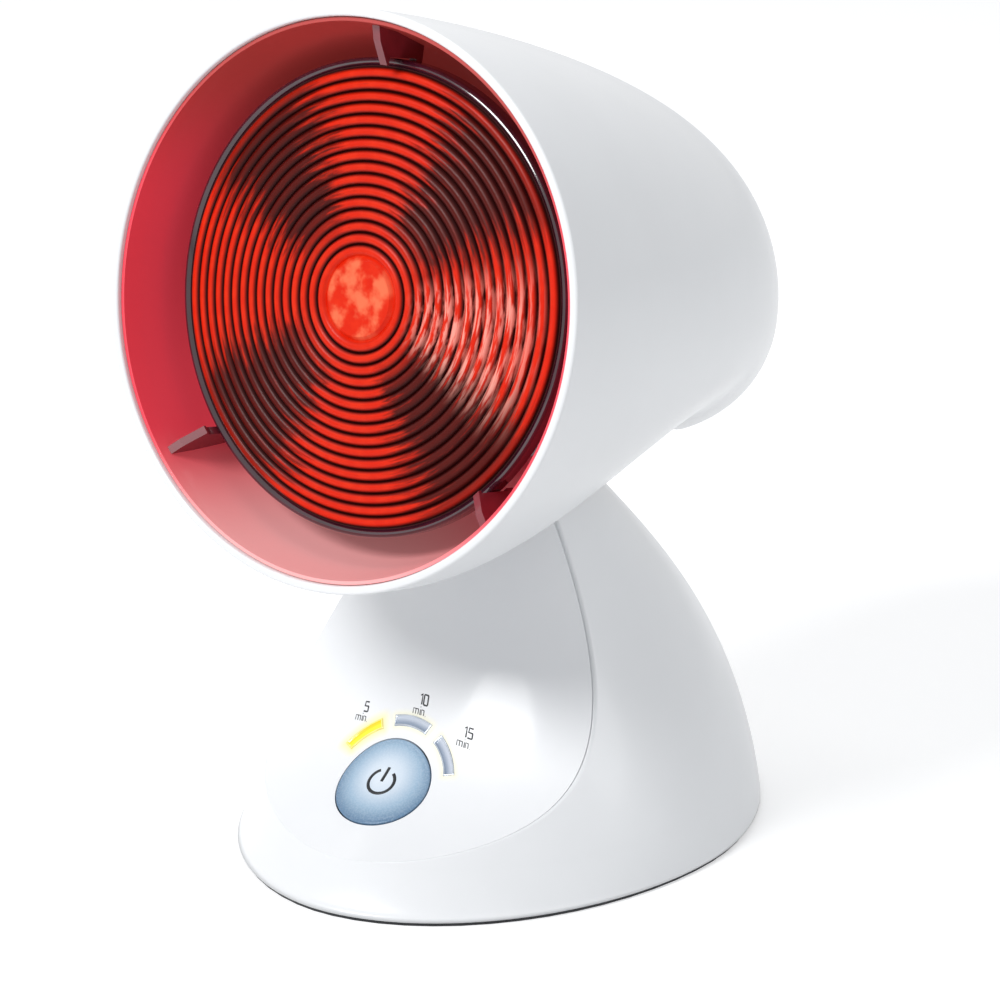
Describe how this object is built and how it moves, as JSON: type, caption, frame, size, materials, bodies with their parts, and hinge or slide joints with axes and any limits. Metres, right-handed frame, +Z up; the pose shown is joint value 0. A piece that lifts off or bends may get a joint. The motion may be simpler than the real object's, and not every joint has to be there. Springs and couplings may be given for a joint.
{
  "type": "infrared heat therapy lamp",
  "caption": "Table infrared heat lamp: a bell-shaped head with a red reflector bulb tilts on a weighted base with a slanted timer panel and push button.",
  "frame": {"origin": "centre of the footprint, on the table", "axes": "+Z up; the bulb shines towards -Y; +X is the lamp's left-right axis, along the tilt axis"},
  "size_m": [0.1474, 0.1725, 0.2353],
  "materials": {
    "shell_plastic": "smooth satin white moulding",
    "liner_enamel": "glossy red lacquer on spun aluminium",
    "bulb_front": "red lacquered pressed glass with concentric rings",
    "bulb_body": "metallised pressed glass",
    "tungsten": "dark coiled wire",
    "cap_brass": "plated brass",
    "dark_glass": "black vitrite",
    "holder_ceramic": "glazed white ceramic",
    "zinc_steel": "zinc-plated pressed steel",
    "sleeved_lead": "silicone-sleeved wire",
    "plate_plastic": "matte dark moulding",
    "ballast_iron": "rough casting",
    "foot_rubber": "dark rubber",
    "board_green": "green circuit board",
    "component_plastic": "moulded component cases",
    "led_clear": "amber epoxy",
    "window_lit": "lit yellow light guide",
    "window_plain": "grey-blue light guide",
    "button_plastic": "satin blue-grey moulding",
    "symbol_ink": "dark inlay",
    "plunger_plastic": "natural nylon"
  },
  "bodies": {
    "base": {"base_shell": "shell_plastic", "front_panel": "shell_plastic", "base_plate": "plate_plastic", "ballast": "ballast_iron", "foot_ring": "foot_rubber", "plate_screws": "zinc_steel", "ballast_screws": "zinc_steel", "neck_bracket": "zinc_steel", "bracket_screws": "zinc_steel", "timer_board": "board_green", "board_screws": "zinc_steel", "relay": "component_plastic", "supply_capacitor": "component_plastic", "tact_switch": "component_plastic", "timer_leds": "led_clear", "led_window_5": "window_lit", "led_window_10": "window_plain", "led_window_15": "window_plain", "cord_gland": "plate_plastic", "mains_terminal": "holder_ceramic", "thermal_fuse": "zinc_steel", "board_leads": "sleeved_lead", "neck_leads": "sleeved_lead"},
    "head": {"shade": "shell_plastic", "reflector_liner": "liner_enamel", "bulb_supports": "liner_enamel", "bulb_lens": "bulb_front", "bulb_reflector": "bulb_body", "filament": "tungsten", "filament_posts": "tungsten", "bulb_cap": "cap_brass", "cap_insulator": "dark_glass", "cap_contact": "cap_brass", "lamp_holder": "holder_ceramic", "holder_thread": "cap_brass", "holder_contact": "cap_brass", "holder_terminals": "cap_brass", "holder_screws": "zinc_steel", "lamp_cradle": "zinc_steel", "cradle_screws": "zinc_steel", "pivot_bushes": "cap_brass", "friction_washers": "zinc_steel", "head_leads": "sleeved_lead"},
    "button": {"power_button": "button_plastic", "power_symbol": "symbol_ink", "switch_plunger": "plunger_plastic"}
  },
  "joints": [
    {"name": "head_tilt", "type": "hinge", "parent": "base", "child": "head", "pos_m": [0, 0.005, 0.11], "axis": [-1, 0, 0], "range_deg": [-8, 24]},
    {"name": "button_press", "type": "slide", "parent": "base", "child": "button", "axis": [0, 0.5736, -0.8192], "range_m": [0, 0.0008], "stiffness_N_per_m": 1500, "springref_m": -0.0006}
  ]
}
